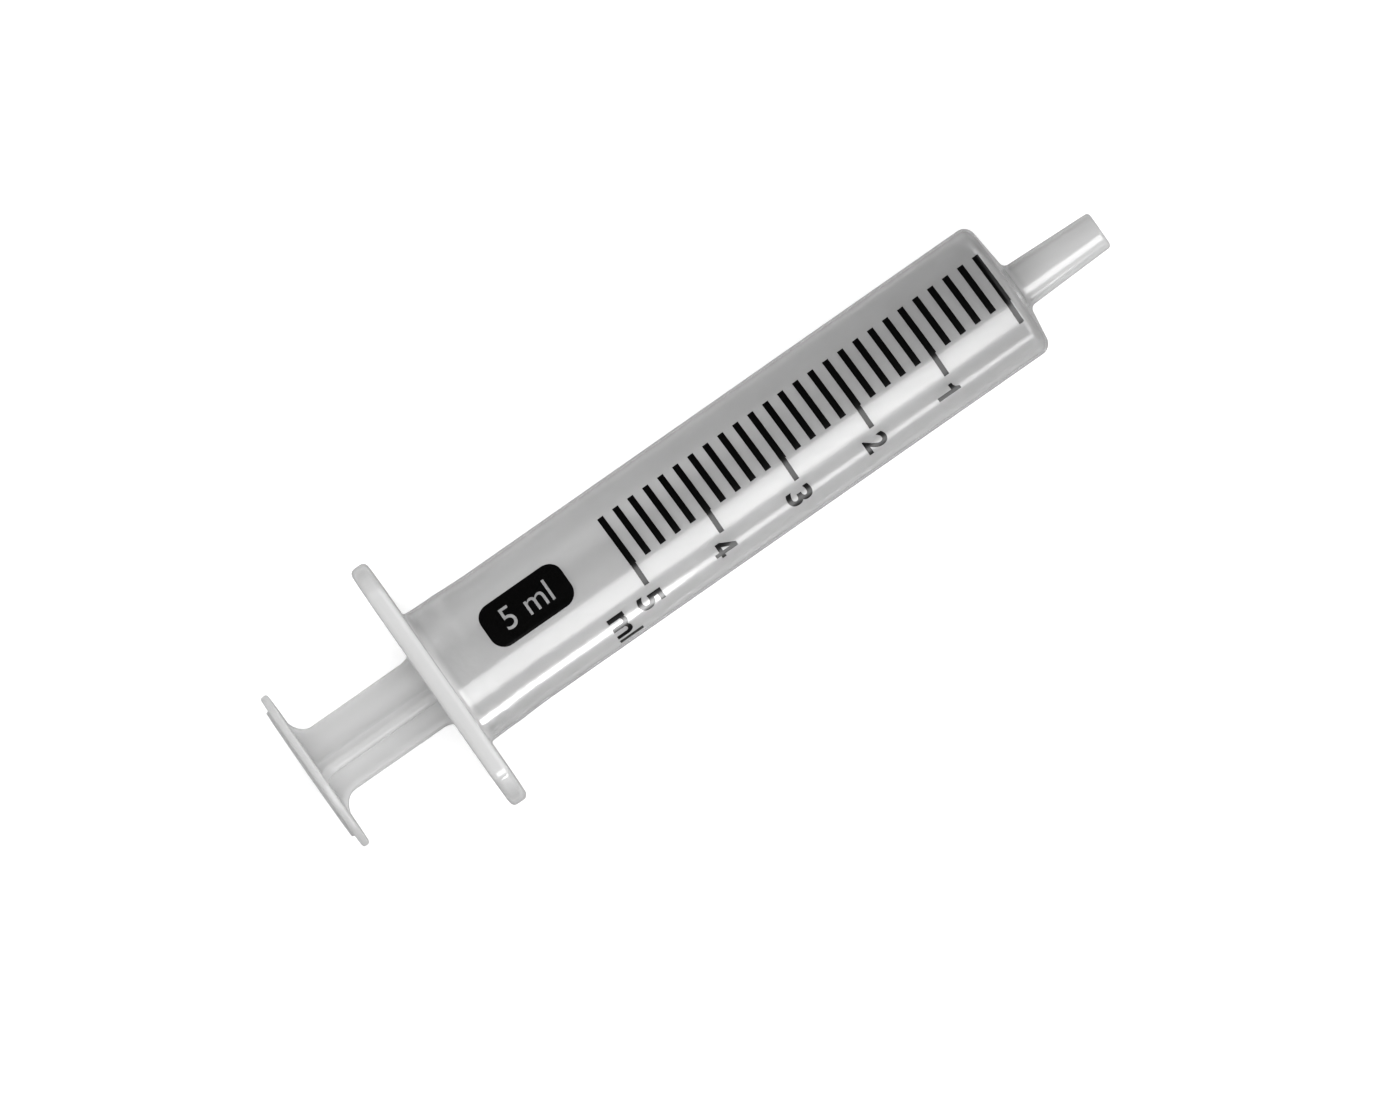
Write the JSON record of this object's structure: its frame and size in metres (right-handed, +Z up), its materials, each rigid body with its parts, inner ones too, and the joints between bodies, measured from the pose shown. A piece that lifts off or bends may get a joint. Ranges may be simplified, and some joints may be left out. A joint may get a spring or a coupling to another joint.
{
  "type": "heparinized syringe",
  "caption": "Slip-tip blood sampling syringe: translucent graduated barrel with a finger flange, and a cross-ribbed plunger with thumb plate and moulded piston head.",
  "frame": {"origin": "under the middle of the syringe's length, on the surface that it lies on", "axes": "+X along the syringe's axis towards its tip, +Y across the finger flange's wings, +Z up, out of the side that carries the scale"},
  "size_m": [0.0916, 0.0274, 0.0175],
  "materials": {
    "barrel_plastic": "translucent natural polypropylene, moulded smooth",
    "plunger_plastic": "milky natural polyethylene, moulded satin"
  },
  "bodies": {
    "barrel": {"barrel": "barrel_plastic"},
    "plunger": {"plunger": "plunger_plastic"}
  },
  "joints": [
    {"name": "plunger_slide", "type": "slide", "parent": "barrel", "child": "plunger", "axis": [-1, 0, 0], "range_m": [0, 0.05]}
  ]
}
